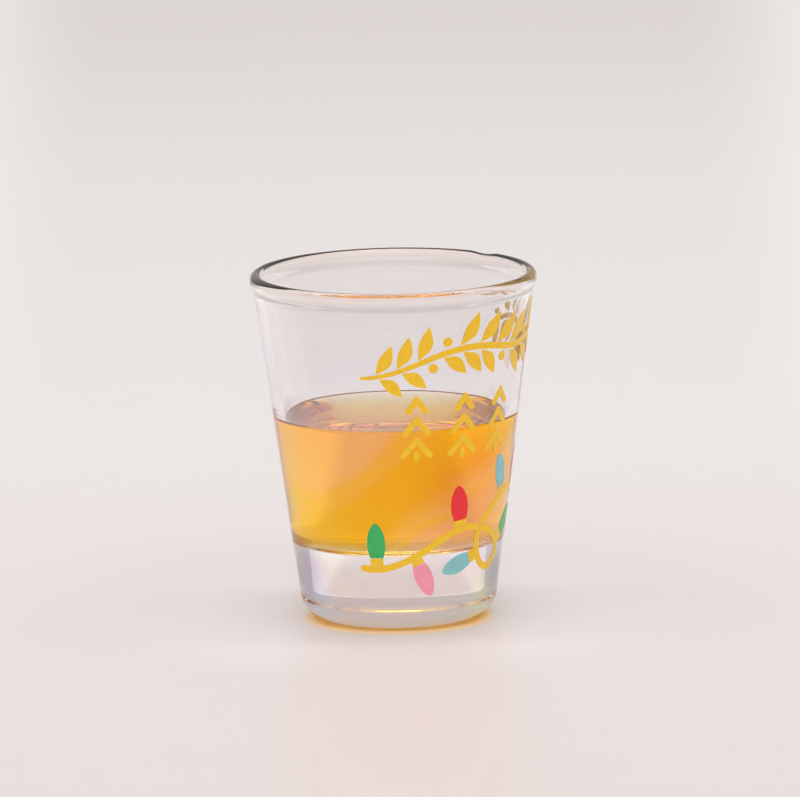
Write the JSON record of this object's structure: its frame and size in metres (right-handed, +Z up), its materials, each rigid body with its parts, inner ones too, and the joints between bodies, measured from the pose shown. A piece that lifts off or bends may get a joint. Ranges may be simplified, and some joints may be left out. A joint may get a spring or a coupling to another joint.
{
  "type": "shot glass",
  "caption": "Tapered pressed-glass shot glass with a heavy base and a rounded rim, printed outside with a light string, fir trees and a gold leafy sprig, poured part full of amber drink.",
  "frame": {"origin": "on the glass's axis, in the plane that the base rests on", "axes": "+Z up along the axis, -Y towards the viewer with the start of the artwork a little to the left, +X to the viewer's right"},
  "size_m": [0.05, 0.05, 0.0608],
  "materials": {
    "clear_glass": "clear, fire polished, with a faint pearly lustre",
    "amber_drink": "clear amber liquid",
    "gold_enamel": "gloss yellow-gold screen-printed enamel",
    "green_enamel": "gloss screen-printed enamel",
    "red_enamel": "gloss screen-printed enamel",
    "pink_enamel": "gloss screen-printed enamel",
    "aqua_enamel": "gloss screen-printed enamel"
  },
  "bodies": {
    "root": {"glass_body": "clear_glass", "drink": "amber_drink", "gold_wire_print": "gold_enamel", "gold_socket_prints": "gold_enamel", "gold_sprig_print": "gold_enamel", "gold_tree_prints": "gold_enamel", "green_bulb_prints": "green_enamel", "red_bulb_prints": "red_enamel", "pink_bulb_prints": "pink_enamel", "aqua_bulb_prints": "aqua_enamel"}
  },
  "joints": []
}
